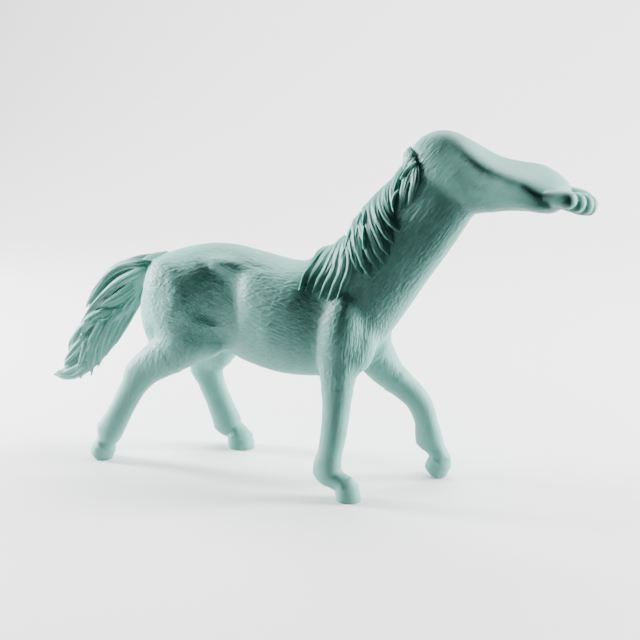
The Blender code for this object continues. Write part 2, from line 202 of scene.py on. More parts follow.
bodyForm = {
    # along, height of the middle, half width, radius up, radius down
    "torso": [
        (-110, 113, 9, 14, 18), (-104.5, 113, 18, 22.5, 27), (-89, 113, 24.5, 30, 33),
        (-66, 114, 25.5, 35, 36), (-50, 115, 20.5, 35.5, 37), (-39, 114, 22.5, 35, 38),
        (-27, 112, 28, 34.4, 39.3), (-7, 110, 30, 33.3, 41), (11, 110, 28.5, 34.7, 40.3),
        (22, 111, 24, 35.5, 39.7), (34, 112, 24, 36, 39), (49, 112, 21, 31, 33),
        (58, 110, 13, 20, 23), (63, 108, 5, 9, 10),
    ],
    "neck": [
        (30, 110, 22, 27, 30), (40, 124, 21.5, 29.5, 31), (51, 139, 19.5, 28, 30.5),
        (62, 155, 17.5, 27, 30), (75, 171, 16, 27.5, 28.5), (86, 186, 15, 24.5, 27.5),
        (94, 199, 14.5, 22, 26), (97, 211, 11, 12, 16),
    ],
    # the same, then the roll that lowers the little toe's side
    "foot": [
        (76.5, 219, 5, 5, 7, 0), (80.5, 217.5, 9.5, 12.6, 14, 0), (89, 214.5, 13, 19.2, 20, 0),
        (99, 211, 14.5, 21, 24, 0), (108, 208.5, 15.5, 18.8, 26, 1),
        (118, 205.5, 16, 15.8, 23.2, 3), (129, 203, 17, 13.6, 18.6, 6),
        (141, 201.5, 19, 12.4, 13.8, 9), (153, 200.5, 20.5, 11.6, 11.2, 11),
        (161, 199, 21, 10, 10.2, 10), (168, 197, 19.5, 8, 9.2, 6), (172, 196, 15, 4.2, 6, 3),
    ],
    # across, along at root and tip, height at root and tip, half width, half height
    "toes": [
        (-15.8, 160, 182.3, 198.5, 198, 4.8, 5), (-8.6, 162, 185.6, 197, 195.2, 4.4, 5.8),
        (-1.4, 163, 188.2, 195.6, 193, 4.4, 6.2), (5.9, 164, 188.8, 195, 191.4, 4.6, 6.2),
        (15, 164, 183, 197.8, 190.6, 6.4, 6.2),
    ],
    "dock": [
        (-97, 133, 8, 7, 8), (-106, 131, 8.2, 8, 8), (-114.7, 127.5, 8, 10, 6.5),
        (-126.8, 118, 7.8, 12, 8),
    ],
    # share of the way from joint to joint, half width, radius in front, radius behind
    "foreGirths": [
        (0, 12, 13.5, 17), (0.6, 11.5, 11.5, 16.5), (1, 10, 10, 14), (1.5, 7.8, 7.8, 10),
        (1.85, 7.4, 7.6, 8.8), (2.1, 6.8, 7.4, 8.8), (2.5, 6.2, 6.8, 8.2), (2.8, 6.6, 7.6, 10.2),
        (3, 6.8, 7.4, 11.2), (3.2, 6.4, 6.9, 9), (3.4, 6, 6.4, 6.4), (4, 6.4, 5.6, 5.8),
    ],
    "hindGirths": [
        (0, 13, 22, 31), (0.6, 13, 19, 28), (1, 12, 15.5, 20.5), (1.4, 9.6, 12.5, 14),
        (1.8, 7.4, 10.4, 12), (2, 7, 9.8, 11.8), (2.2, 6.6, 9, 8.4), (2.5, 6.2, 8.4, 7.8),
        (2.8, 6.6, 8.2, 9.4), (3, 6.8, 8, 11), (3.2, 6.4, 7.2, 8.8), (3.4, 6, 6.4, 6.4),
        (4, 6.4, 5.6, 5.8),
    ],
    # joints from the top down, girths, scale put on them
    "legs": [
        ([(37, -16, 114), (38.5, -20, 80), (37.2, -25, 44), (35.2, -29, 17), (46.5, -30, 9.5)],
         "foreGirths", 1.04),
        ([(39, 16, 100), (52, 22, 74), (72.8, 29, 51), (80.2, 33, 25), (87, 34, 12)],
         "foreGirths", 1.0),
        ([(-66, -16, 106), (-76, -20, 83.5), (-106, -25, 59.5), (-127.5, -29, 19),
          (-130.5, -30, 9.5)], "hindGirths", 1.0),
        ([(-66, 16, 104), (-72, 21, 77), (-82.5, 26, 53), (-68.5, 29, 17), (-60, 29, 9)],
         "hindGirths", 1.12),
    ],
    # coronet along, across, up, how far the toe is pitched down, radius
    "hooves": [
        (46.8, -30, 9.8, 0, 7.2), (86.8, 34, 12.2, 38, 7.4), (-131.2, -30, 10.8, 40, 7.3),
        (-60.6, 29, 9.6, 0, 8.3),
    ],
    "hoofHeight": 10.4,
    "hoofLean": 1.6,
    # share of the height down from the coronet, share of the radius there
    "hoofLevels": [(-0.5, 0.5), (-0.1, 0.94), (0.08, 1.1), (0.2, 1.05), (0.55, 1.14), (0.86, 1.1)],
    "raisedSole": (1.02, 1.06),
    "flatSole": (1.3, 0.98),
    # share of the way along a toe, share of its girth there
    "toeShape": [(0, 0.6), (0.3, 0.82), (0.5, 0.95), (0.72, 1.04), (0.9, 0.9), (1, 0.45)],
    "toeArch": 0.8,
    "legSteps": 20,  # points on a leg's curve from one joint to the next
    "shinFrom": 26,  # the point from which the leg is laid on again after the softening
    # place, three radii, turn about Y, lean about X
    "muscles": [
        (38.5, -19, 106, 14, 12, 27, 6, -6), (41, 19, 104, 14, 12, 27, 6, 6),
        (44, -15, 92, 13, 11, 14, 0, 0), (43, 16, 90, 13, 11, 14, 0, 0),
        (49.5, -13, 97, 9.5, 9, 18, 6, 0), (49.5, 13, 97, 9.5, 9, 18, 6, 0),
        (-82, -18, 112, 22, 14, 30, -18, -5), (-82, 18, 112, 22, 14, 30, -18, 5),
        (-97, -12, 104, 13, 12, 22, 0, 0), (-97, 12, 104, 13, 12, 22, 0, 0),
        (-62, -14, 88, 14, 10.5, 14, 30, 0), (-62, 14, 88, 14, 10.5, 14, 30, 0),
        (-8, -14, 106, 22, 16.5, 27, 0, 0), (-8, 14, 106, 22, 16.5, 27, 0, 0),
        (22, 0, 140, 18, 10, 12, -10, 0), (-45, -12, 140, 21, 8, 5, 4, 0),
        (-45, 12, 140, 21, 8, 5, 4, 0), (-48, -12, 96, 16, 8, 14, 0, 0),
        (-48, 12, 96, 16, 8, 14, 0, 0), (113, -10.5, 199, 7, 5, 6, 0, 0),
        (113, 10.5, 201, 7, 5, 6, 0, 0), (-96, -14, 95, 11, 12, 17, -8, 0),
        (-96, 14, 95, 11, 12, 17, -8, 0),
    ],
    # along and up, reach along and up, of the folds that are smoothed out on the flanks
    "easedFolds": [(-54, 104, 19, 15), (-32, 141, 14, 8), (-74, 134, 17, 11)],
    "easedCore": 1.8,  # the higher, the wider the part that is smoothed in full
    "easedRounds": 110,
    "uneasedMiddle": 8,  # half the width of the strip along the middle that is left alone
    # low swells and hollows on both flanks: along and up, reach along and up, turn, height
    "swells": [
        (-66, 120, 12, 19, 28, 3.2), (-73, 134, 12, 8, 20, 1.4), (-55, 97, 13, 11, 20, -2.4),
        (-22, 141, 8, 1.0, 9, -0.7), (-46, 90, 12, 8, 20, -2.2), (-33, 118, 6, 18, 0, -1.0),
    ],
    # how square the sole's section is, and where along the foot that begins and ends
    "soleSquareness": 3.6,
    "soleBegins": (100, 124),
    "soleEnds": (150, 170),
    "firstVoxel": 1.6,
    "firstSoftening": 32,
    "fineVoxel": 0.55,
    "fineSoftening": 3,
    "triangles": 190000,
}


def limb(bm, joints, girths, girthScale, first=0):
    # leg skinned over a curve through its joints, from the point numbered first downwards
    path = curveThrough(joints, bodyForm["legSteps"])
    shares = np.array([g[0] for g in girths]) * bodyForm["legSteps"]
    at = np.arange(0, len(path))
    wide, front, back = (
        np.interp(at, shares, [g[k] for g in girths]) * girthScale for k in (1, 2, 3))
    keep = list(range(first, len(path), 2))
    if keep[-1] != len(path) - 1:
        keep.append(len(path) - 1)
    loft(bm, path[keep], (0, -1, 0), wide[keep], front[keep], back[keep], 36, 0.95)


def hoof(bm, coronet, toePitch, hoofRadius):
    # short rounded drum from the coronet to the sole; a flat one runs below the ground
    turn = Matrix.Rotation(math.radians(toePitch), 4, "Y")
    sole = bodyForm["raisedSole"] if toePitch else bodyForm["flatSole"]
    rings = []
    for share, swell in bodyForm["hoofLevels"] + [sole]:
        ring = []
        forward = bodyForm["hoofLean"] * min(max(share, 0), 1)
        for k in range(48):
            angle = 2 * math.pi * k / 48
            c, s = math.cos(angle), math.sin(angle)
            long = 1.08 if c > 0 else 0.92
            radius = hoofRadius * swell
            local = Vector((forward + radius * long * c, radius * 0.94 * s,
                            -bodyForm["hoofHeight"] * share))
            ring.append(Vector(coronet) + turn @ local)
        rings.append(ring)
    skinOver(bm, rings)


def toe(bm, across, root, tip, rootUp, tipUp, halfWidth, halfHeight):
    # rounded finger, drawn in behind its pad and full at the pad
    rows = curveThrough(
        [(root + (tip - root) * s, across,
          rootUp + (tipUp - rootUp) * s + bodyForm["toeArch"] * math.sin(math.pi * s),
          halfWidth * fullness, halfHeight * fullness)
         for s, fullness in bodyForm["toeShape"]], 4)
    loft(bm, rows[:, :3], (0, -1, 0), rows[:, 3], rows[:, 4], rows[:, 4], 28)


def eased(thing):
    # folds between the muscle volumes smoothed out on both flanks
    places = readOut(thing.data, "co")
    core = bodyForm["easedCore"]
    weight = np.zeros(len(places))
    for x, z, long, tall in bodyForm["easedFolds"]:
        off = np.hypot((places[:, 0] - x) / long, (places[:, 2] - z) / tall)
        weight = np.maximum(weight, np.clip(core - core * off, 0, 1))
    weight[np.abs(places[:, 1]) < bodyForm["uneasedMiddle"]] = 0
    group = thing.vertex_groups.new(name="folds")
    for i in np.nonzero(weight)[0]:
        group.add([int(i)], float(weight[i]), "REPLACE")
    soften = thing.modifiers.new("ease", "SMOOTH")
    soften.factor = 0.5
    soften.iterations = bodyForm["easedRounds"]
    soften.vertex_group = "folds"
    return applied(thing)


def carveBody():
    bm = bmesh.new()
    for part in ("torso", "neck", "foot", "dock"):
        profileLoft(bm, bodyForm[part])
    for joints, girths, girthScale in bodyForm["legs"]:
        limb(bm, joints, bodyForm[girths], girthScale)
    for x, y, z, long, wide, tall, turn, lean in bodyForm["muscles"]:
        place = (Matrix.Translation((x, y, z)) @ Matrix.Rotation(math.radians(turn), 4, "Y")
                 @ Matrix.Rotation(math.radians(lean), 4, "X")
                 @ Matrix.Diagonal((long, wide, tall, 1)))
        bmesh.ops.create_uvsphere(bm, u_segments=24, v_segments=16, radius=1, matrix=place)
    rough = fused(meshObject(bm, "roughBody"), bodyForm["firstVoxel"], bodyForm["firstSoftening"])
    bm = bmesh.new()
    bm.from_mesh(rough.data)
    bpy.data.objects.remove(rough, do_unlink=True)
    for joints, girths, girthScale in bodyForm["legs"]:
        limb(bm, joints, bodyForm[girths], girthScale, bodyForm["shinFrom"])
    for row in bodyForm["toes"]:
        toe(bm, *row)
    for x, y, z, toePitch, hoofRadius in bodyForm["hooves"]:
        hoof(bm, (x, y, z), toePitch, hoofRadius)
    return eased(fused(meshObject(bm, "body"), bodyForm["fineVoxel"], bodyForm["fineSoftening"]))


def swellHeight(places, normals):
    # height of the swells at each place, felt only where the skin faces sideways
    rise = np.zeros(len(places))
    for x, z, long, tall, turn, height in bodyForm["swells"]:
        c, s = math.cos(math.radians(turn)), math.sin(math.radians(turn))
        dx, dz = places[:, 0] - x, places[:, 2] - z
        u, v = (dx * c - dz * s) / long, (dx * s + dz * c) / tall
        rise += height * np.exp(-(u * u + v * v))
    return rise * ramp(np.abs(normals[:, 1]), 0.0, 0.8)


def squaredSole(places):
    # the sole of the foot is flat with a clear edge: its rounded section made squarer
    rows = np.array(bodyForm["foot"], float)
    x = places[:, 0]
    middle, wide, high, roll = (np.interp(x, rows[:, 0], rows[:, k]) for k in (1, 2, 3, 5))
    c, s = np.cos(np.radians(roll)), np.sin(np.radians(roll))
    dy, dz = places[:, 1], places[:, 2] - middle
    across = (-dy * c - dz * s) / wide
    up = (-dy * s + dz * c) / high
    far = np.hypot(across, up) + 1e-6
    power = bodyForm["soleSquareness"]
    factor = (np.abs(across / far) ** power + np.abs(up / far) ** power) ** (-1 / power)
    share = ramp(x, *bodyForm["soleBegins"]) * (1 - ramp(x, *bodyForm["soleEnds"]))
    share = share * ramp(up, 0, 0.2) * (far < 1.6)  # only near the sole, on the upper face
    out = np.zeros_like(places)
    out[:, 1] = dy * (factor - 1) * share
    out[:, 2] = dz * (factor - 1) * share
    return out


coat = {
    "tufts": 20000,
    "length": (4, 8.5),
    "halfWidth": (0.45, 0.75),
    "rise": 0.27,
    "lowest": 0.55,  # share of the rise that the lowest tufts have
    "stray": 12,  # degrees that a tuft strays from the lie of the hair
    "bend": 0.6,
    "fullAt": 0.7,  # share of its length where a tuft stands highest
    "tipLength": 0.16,  # share of its length in which its tip drops to the skin
    "seed": 11,
}


def hairRegions(places):
    # how far each place belongs to the neck, to the legs and to the chest
    x, z = places[:, 0], places[:, 2]
    neck = ramp(x, 18, 50) * ramp(z, 108, 140)
    chest = ramp(x, 26, 46) * (1 - ramp(z, 108, 140))
    return neck, 1 - ramp(z, 66, 92), chest


def lieOfHair(places):
    # direction in which the hair lies at each place: back along the barrel, down the neck
    # towards the shoulder, and straight down the legs
    x, z = places[:, 0], places[:, 2]
    neck, leg, chest = (share[:, None] for share in hairRegions(places))
    rump = ((1 - ramp(x, -72, -48)) * (1 - ramp(z, 128, 142)))[:, None]
    lie = np.array([-1.0, 0, -0.3]) * (1 - neck) + np.array([-0.64, 0, -0.77]) * neck
    lie = lie * (1 - rump) + np.array([-0.6, 0, -0.8]) * rump
    lie = lie * (1 - chest) + np.array([-0.35, 0, -1.0]) * chest
    lie = lie * (1 - leg) + np.array([0, 0, -1.0]) * leg
    return lie


def strengthOfHair(places, normals):
    # how far the carved hair stands out: full on rump, ribs, chest and neck, faint on the
    # top of the back, the shins and the foot, none on the hooves
    x, z = places[:, 0], places[:, 2]
    strength = 0.35 + 0.65 * ramp(z, 55, 88)
    strength *= ramp(z, 17, 28)
    strength *= 1 - 0.75 * ramp(x, 84, 104) * ramp(z, 182, 196)
    strength *= 1 - 0.4 * ramp(normals[:, 2], 0.6, 0.95)
    return strength


def combCoat(thing):
    # short overlapping tufts raised on the skin along the lie of the hair
    mesh = thing.data
    count = len(mesh.vertices)
    places, normals = readOut(mesh, "co"), readOut(mesh, "normal")
    places += normals * swellHeight(places, normals)[:, None] + squaredSole(places)
    strength = strengthOfHair(places, normals)
    dice = np.random.default_rng(coat["seed"])
    tree = kdtree.KDTree(count)
    for i, place in enumerate(places):
        tree.insert(place, i)
    tree.balance()
    chosen = dice.choice(count, coat["tufts"], replace=False)
    chosen = chosen[strength[chosen] > 0.05]
    lies = lieOfHair(places[chosen])
    rise = np.zeros(count)
    for i, lie in zip(chosen, lies):
        normal = normals[i]
        along = unit(lie - normal * (lie @ normal))
        across = np.cross(normal, along)
        swing = math.radians(dice.normal(0, coat["stray"]))
        along = along * math.cos(swing) + across * math.sin(swing)
        across = np.cross(normal, along)
        length = dice.uniform(*coat["length"])
        halfWidth = dice.uniform(*coat["halfWidth"])
        height = coat["rise"] * dice.uniform(coat["lowest"], 1.0)
        bend = dice.normal(0, coat["bend"])
        near = np.array([hit[1] for hit in tree.find_range(places[i], length * 0.62)])
        offset = places[near] - places[i]
        u = (offset @ along) / length + 0.5
        s = (offset @ across - bend * (u - 0.5) ** 2 * 4) / halfWidth
        profile = np.clip(u / coat["fullAt"], 0, 1) * np.clip((1.0 - u) / coat["tipLength"], 0, 1)
        s /= 0.45 + 0.55 * np.clip(u * 1.6, 0, 1)  # narrow at the root
        shape = profile * np.clip(1 - s * s, 0, 1) ** 0.8
        rise[near] = np.maximum(rise[near], height * shape)
    moveTo(mesh, places + normals * (rise * strength)[:, None])
    # how far each tuft stands out, which paints a highlight on its crest
    markRelief(mesh, rise / coat["rise"] * strength)


body = carveBody()
skin = bmesh.new()
skin.from_mesh(body.data)
skinTree = BVHTree.FromBMesh(skin)
skin.free()
combCoat(body)
thinned(body, bodyForm["triangles"])
trimmedAtGround(body)
print("body carved and combed:", len(body.data.polygons), "faces")


# Hair: mane and tail

def laidOn(tree, x, z, side):
    # place and outward direction on the near or far face of a form, over the point x, z
    point, normal, _, _ = tree.ray_cast(Vector((x, -100 * side, z)), Vector((0, side, 0)))
    if point is None:
        point, normal, _, _ = tree.find_nearest(Vector((x, 0, z)))
    return np.array(point), np.array(normal)


def sidesOf(centres, normals):
    count = len(centres)
    return np.array([unit(np.cross(centres[min(i + 1, count - 1)] - centres[max(i - 1, 0)],
                                   normals[i])) for i in range(count)])


def lock(bm, centres, normals, halfWidth, thickness, root, tilt):
    # broad soft lock of hair, root the share of its size where it begins, tilt in degrees
    # lifts its rear edge off the form
    shares = np.linspace(0, 1, len(centres))
    swell = np.interp(shares, [0, 0.15, 0.45, 0.8, 1.0], [root, 0.9, 1.0, 0.75, 0.1])
    centres = np.array(centres)
    tall = thickness * swell
    sides = (sidesOf(centres, normals) * math.cos(math.radians(tilt))
             + np.array(normals) * math.sin(math.radians(tilt)))
    loft(bm, centres, sides, halfWidth * swell, tall, tall, 32)


def strand(bm, tree, line, side, halfWidth, height):
    # one raised strand laid along a line in the side view
    found = [laidOn(tree, x, z, side) for x, z in line]
    centres = np.array([point for point, normal in found])
    shares = np.linspace(0, 1, len(centres))
    swell = np.interp(shares, [0, 0.15, 0.7, 1], [0.5, 1, 0.8, 0.15])
    sides = sidesOf(centres, [normal for point, normal in found])
    loft(bm, centres, sides, halfWidth * swell, height * swell, height * swell, 12)


def combed(bm, tree, line, side, halfWidth, hair, dice):
    # fine strands of different lengths side by side along a lock, each with its own sway
    line = np.array(line)
    shares = np.linspace(0, 1, len(line))
    along = np.gradient(line, axis=0)
    along /= np.linalg.norm(along, axis=1)[:, None]
    across = np.stack([-along[:, 1], along[:, 0]], 1)
    taper = np.interp(shares, [0, 0.12, 0.45, 0.8, 1.0], [0.7, 0.92, 1.0, 0.72, 0.15])
    for k in range(hair["strands"]):
        share = (k + 0.5 + dice.uniform(-0.2, 0.2)) / hair["strands"] * 2 - 1
        sway = share + 0.13 * np.sin(2 * math.pi * shares + dice.uniform(0, 6))
        first, last = dice.integers(0, 6), len(line) - dice.integers(0, 9)
        moved = line + across * (halfWidth * 0.9 * taper * sway)[:, None]
        size = dice.uniform(*hair["strandSize"])
        strand(bm, tree, moved[first:last], side, size, size * hair["strandHeight"])


maneHair = {
    # along and up at root, middle and tip, half width, thickness
    "locks": [
        (82, 217.6, 70.5, 216.2, 61.5, 206.5, 3.2, 4), (82, 218, 66.5, 209.5, 60.5, 197, 3.2, 5),
        (82.3, 218, 71, 205, 69.5, 182, 3, 4.2), (83, 216.5, 78, 201.5, 75, 184, 2.8, 3),
        (83.3, 215, 84, 202, 80.5, 188, 2.6, 2.4), (64, 202, 66.5, 190, 71, 179, 2.1, 3.6),
        (60, 198, 65.5, 184, 75, 171.5, 2.2, 3.8), (56.2, 194, 63.5, 177.5, 72, 164, 2.2, 3.8),
        (52, 189.5, 61.5, 172.5, 69.5, 156, 2.3, 3.8), (48.5, 186, 58.8, 169, 66, 151, 2.3, 3.8),
        (45, 182, 55, 166, 62.5, 146.5, 2.4, 3.8), (43, 177.5, 50.5, 162, 58, 142, 2.6, 4.4),
        (41.5, 171, 45.5, 160, 53, 143, 2.4, 3.6), (41, 167, 46, 148, 37.5, 126.5, 2.3, 3),
        (39, 164, 41, 147, 31, 124.5, 2.3, 3.4), (36.5, 162.5, 35.8, 147, 25, 125.5, 2.3, 3.8),
        (33, 161.5, 30.3, 147.5, 20, 128, 2.4, 4.2), (29.5, 160, 24.8, 148.5, 15.5, 130, 2.5, 4.4),
        (25.5, 158, 19.2, 148, 11.5, 130, 2.7, 4.4),
    ],
    # locks that begin in front of flapFrom lie flat over the heel's edge; for these and for
    # the others: how much wider than drawn, share of its size at the root, tilt in degrees
    "flapFrom": 80,
    "flapShape": (1.15, 0.2, 10),
    "widening": 1.75,
    "rootShare": 0.5,
    "tilt": (19, 28),
    # share of its thickness that a lock stands up, how much less of it by the tip
    "standing": 0.42,
    "settling": 0.2,
    "strands": 3,
    "strandSize": (0.3, 0.62),
    "strandHeight": 0.8,
    # strands that catch the light most, as points in the side view, half width, height
    "bold": [
        ([(84, 214), (78, 209), (73.4, 199), (70, 190.8), (70.8, 183.8), (74.6, 180.1)], 0.8, 2),
        ([(50.5, 186), (51.5, 177), (52.5, 168), (54.2, 159), (57.5, 152), (61, 145.5)], 0.8, 1.7),
        ([(47.5, 184), (46.5, 175), (47, 166)], 0.7, 1.2),
        ([(41, 172), (40.5, 163), (38, 154), (36, 146)], 0.6, 1.0),
    ],
    "grooveHeight": 0.3,
    "seed": 3,
    "voxel": 0.4,
    "softening": 1,
    "triangles": 170000,
}


def treeOf(bm):
    bmesh.ops.recalc_face_normals(bm, faces=bm.faces)
    return BVHTree.FromBMesh(bm)


def markGrooves(thing, pads, height):
    # -1 in the grooves between the strands, where shade is painted, 1 on the crests of the
    # strands, where a highlight is painted
    mesh = thing.data
    out = np.array([pads.find_nearest(v.co)[3] for v in mesh.vertices])
    markRelief(mesh, np.clip(out / height, 0, 1) * 2 - 1)


def combMane():
    bm = bmesh.new()
    dice = np.random.default_rng(maneHair["seed"])
    standing, settling = maneHair["standing"], maneHair["settling"]
    lines = []
    for rootX, rootZ, midX, midZ, tipX, tipZ, halfWidth, thickness in maneHair["locks"]:
        line = curveThrough([(rootX, rootZ), (midX, midZ), (tipX, tipZ)], 14)
        found = [laidOn(skinTree, x, z, 1) for x, z in line]
        path = [point + normal * thickness * (standing - settling * i / (len(line) - 1))
                for i, (point, normal) in enumerate(found)]
        if rootX > maneHair["flapFrom"]:
            widening, root, tilt = maneHair["flapShape"]
        else:
            widening, root = maneHair["widening"], maneHair["rootShare"]
            tilt = dice.uniform(*maneHair["tilt"])
        wide = halfWidth * widening
        lock(bm, path, [normal for point, normal in found], wide, thickness * standing, root, tilt)
        lines.append((line, wide))
    pads = treeOf(bm)
    for line, wide in lines:
        combed(bm, pads, line, 1, wide, maneHair, dice)
    for points, halfWidth, height in maneHair["bold"]:
        strand(bm, pads, curveThrough(points, 8), 1, halfWidth, height)
    hair = fused(meshObject(bm, "mane"), maneHair["voxel"], maneHair["softening"])
    markGrooves(hair, pads, maneHair["grooveHeight"])
    return thinned(hair, maneHair["triangles"])


mane = combMane()
print("mane combed:", len(mane.data.polygons), "faces")

tailHair = {
    # along, height of the middle, half width, radius to the top edge, to the under edge
    "core": [
        (-97, 133, 8, 7, 8), (-106, 131, 8.2, 8, 8), (-114.7, 127.5, 8, 10, 6.5),
        (-126.8, 118, 7.8, 14, 8), (-134.5, 110, 7.6, 16, 10.5), (-141.2, 100, 7.2, 17, 14),
        (-150.5, 84.3, 6.6, 16, 13.5), (-160.6, 69, 5.8, 13.5, 13), (-168, 58.5, 5, 11, 11),
        (-175.7, 49.5, 4, 7.5, 7.5), (-182.6, 44.7, 3.2, 4.5, 4.5), (-188.5, 42.9, 2, 2.2, 2.2),
    ],
    # along and up at root, middle and tip, half width, thickness, faces that carry it
    "locks": [
        (-103, 135, -133.5, 126, -163, 95, 3.0, 3.6, 2),
        (-103, 132, -131.5, 116.5, -165.5, 85, 3.0, 4.2, 1),
        (-105, 127.5, -128, 110, -149.5, 97, 3.6, 4.4, 2),
        (-136, 99, -157, 86, -175.5, 62, 3.6, 4.2, 2),
        (-152, 92, -167, 77, -179, 60, 2.8, 3.6, 1),
        (-154, 82, -168, 66, -184, 50, 3.2, 3.6, 2),
        (-162, 56, -175, 47.5, -192, 43.5, 4.0, 3.6, 2),
        (-105, 124, -119, 107, -140, 71.5, 3.0, 3.0, 2),
        (-113, 117, -130, 95, -148.5, 62, 3.0, 3.0, 1),
        (-128, 103, -142, 83, -155.5, 53, 3.2, 3.0, 2),
        (-142, 93, -153.5, 73, -162, 45.5, 3.2, 3.0, 1),
        (-156, 76, -162.5, 62, -171, 42.5, 3.0, 3.0, 2),
    ],
    # how much wider than drawn a lock and the band of its strands are, share of the lock's
    # size at its root, shares of its thickness that it stands up and is raised
    "widening": 1.3,
    "combedWidth": 1.2,
    "rootShare": 0.12,
    "standing": 0.5,
    "raised": 0.05,
    "tilt": 26,
    # how much thicker the top edge is, and between which distances behind that comes in
    "fullTop": 0.3,
    "fullFrom": (104, 118),
    "strands": 3,
    "strandSize": (0.5, 0.9),
    "strandHeight": 2.1,
    "grooveHeight": 1.3,
    "seed": 5,
    "voxel": 0.42,
    "softening": 1,
    "triangles": 170000,
}


def onTail(core, x, z, side):
    # place and outward direction on one face of the tail, over the point x, z
    nearest = int(np.argmin((core[:, 0] - x) ** 2 + (core[:, 1] - z) ** 2))
    ahead, behind = core[min(nearest + 1, len(core) - 1)], core[max(nearest - 1, 0)]
    along = unit(np.array([ahead[0] - behind[0], 0, ahead[1] - behind[1]]))
    top = np.array([along[2], 0, -along[0]])
    row = core[nearest]
    across = float(np.array([x - row[0], 0, z - row[1]]) @ top)
    across = max(-1.0, min(1.0, across / (row[3] if across > 0 else row[4])))
    bulge = row[2] * math.sqrt(1 - across ** 2)
    return np.array([x, -side * bulge, z]), unit(top * across * 0.8 - np.array([0, side, 0]))


def fullAlongTop(thing, core):
    # the tail is thickest near its top edge and thins out towards the under edge
    places = readOut(thing.data, "co")
    tree = kdtree.KDTree(len(core))
    for i, row in enumerate(core):
        tree.insert((row[0], row[1], 0), i)
    tree.balance()
    nearest = np.array([tree.find((x, z, 0))[1] for x, _, z in places])
    along = np.gradient(core[:, :2], axis=0)
    along /= np.linalg.norm(along, axis=1)[:, None]
    rows, turn = core[nearest], along[nearest]
    across = (places[:, 0] - rows[:, 0]) * turn[:, 1] - (places[:, 2] - rows[:, 1]) * turn[:, 0]
    across = np.clip(across / np.where(across > 0, rows[:, 3], rows[:, 4]), -1, 1)
    share = tailHair["fullTop"] * ramp(-places[:, 0], *tailHair["fullFrom"])
    places[:, 1] *= 1 + share * across
    moveTo(thing.data, places)


def combTail():
    bm = bmesh.new()
    profileLoft(bm, tailHair["core"], 6, 48)
    core = curveThrough(tailHair["core"], 12)
    dice = np.random.default_rng(tailHair["seed"])
    lines = []
    for rootX, rootZ, midX, midZ, tipX, tipZ, halfWidth, thickness, faces in tailHair["locks"]:
        line = curveThrough([(rootX, rootZ), (midX, midZ), (tipX, tipZ)], 14)
        for side in (1, -1)[:faces]:
            found = [onTail(core, x, z, side) for x, z in line]
            path = [point + normal * thickness * tailHair["raised"] for point, normal in found]
            normals = [normal for point, normal in found]
            lock(bm, path, normals, halfWidth * tailHair["widening"],
                 thickness * tailHair["standing"], tailHair["rootShare"], side * tailHair["tilt"])
            lines.append((line, side, halfWidth * tailHair["combedWidth"]))
    pads = treeOf(bm)
    for line, side, wide in lines:
        combed(bm, pads, line, side, wide, tailHair, dice)
    hair = fused(meshObject(bm, "tail"), tailHair["voxel"], tailHair["softening"])
    markGrooves(hair, pads, tailHair["grooveHeight"])
    fullAlongTop(hair, core)
    return thinned(hair, tailHair["triangles"])


tail = combTail()
print("tail combed:", len(tail.data.polygons), "faces")


# Finish: one matt mint plastic, paler on the crests of the carving where a highlight is painted
# and darker in the grooves between the strands where shade is painted

mintFinishAndPaintedLight = {
    "base": (0.138, 0.355, 0.302),
    # pale colour and its share: a highlight painted on the crests of the carving
    "paintedCrestHighlight": (0.18, 0.46, 0.41),
    "paintedCrestHighlightShare": 0.6,
    "deep": (0.108, 0.29, 0.242),
    # groove colour and its share: shade painted in the grooves between the strands
    "paintedGrooveShade": (0.055, 0.2, 0.16),
    "paintedGrooveShadeShare": 0.75,
    "roughness": 0.48,
    "shine": 0.25,
    "mottleScale": 38,
    "mottleRange": (0.32, 0.7),  # below the first all deep, above the second all base
    "glowShare": 0.15,
    "glowDepth": 0.004,
    "glowReach": (0.5, 1.0, 0.85),
    # fine hair: scale across it, how many times longer than wide, depth, how far it curls and
    # how closely, and for each lie of the hair the turn about Y that lays the strokes along it
    "hairScale": 850,
    "hairStretch": 11,
    "hairDepth": 0.0006,
    "hairCurl": 0.0016,
    "curlScale": 110,
    "hairLies": {"back": 17, "neck": -50, "down": -88},
}


def strokes(nodes, links, place, turn, finishAndPaintedLight):
    # fine streaks that run along one direction in the side view
    laid = nodes.new("ShaderNodeMapping")
    laid.vector_type = "TEXTURE"
    laid.inputs["Rotation"].default_value = (0, math.radians(turn), 0)
    laid.inputs["Scale"].default_value = (finishAndPaintedLight["hairStretch"], 1, 1)
    links.new(place, laid.inputs["Vector"])
    streak = nodes.new("ShaderNodeTexNoise")
    streak.inputs["Scale"].default_value = finishAndPaintedLight["hairScale"]
    streak.inputs["Detail"].default_value = 2
    links.new(laid.outputs["Vector"], streak.inputs["Vector"])
    return streak.outputs["Fac"]


def blend(nodes, links, share, first, second):
    # the first height where the share is 0, the second where it is 1
    mix = nodes.new("ShaderNodeMix")
    links.new(share, mix.inputs["Factor"])
    links.new(first, mix.inputs["A"])
    links.new(second, mix.inputs["B"])
    return mix.outputs["Result"]


def tinted(nodes, links, relief, share, colour, tint):
    # colour drawn towards the tint by the relief times share, never by less than nothing
    factor = nodes.new("ShaderNodeMath")
    factor.operation = "MULTIPLY"
    factor.use_clamp = True
    factor.inputs[1].default_value = share
    links.new(relief, factor.inputs[0])
    mix = nodes.new("ShaderNodeMix")
    mix.data_type = "RGBA"
    mix.inputs["B"].default_value = (*tint, 1)
    links.new(factor.outputs["Value"], mix.inputs["Factor"])
    links.new(colour, mix.inputs["A"])
    return mix.outputs["Result"]


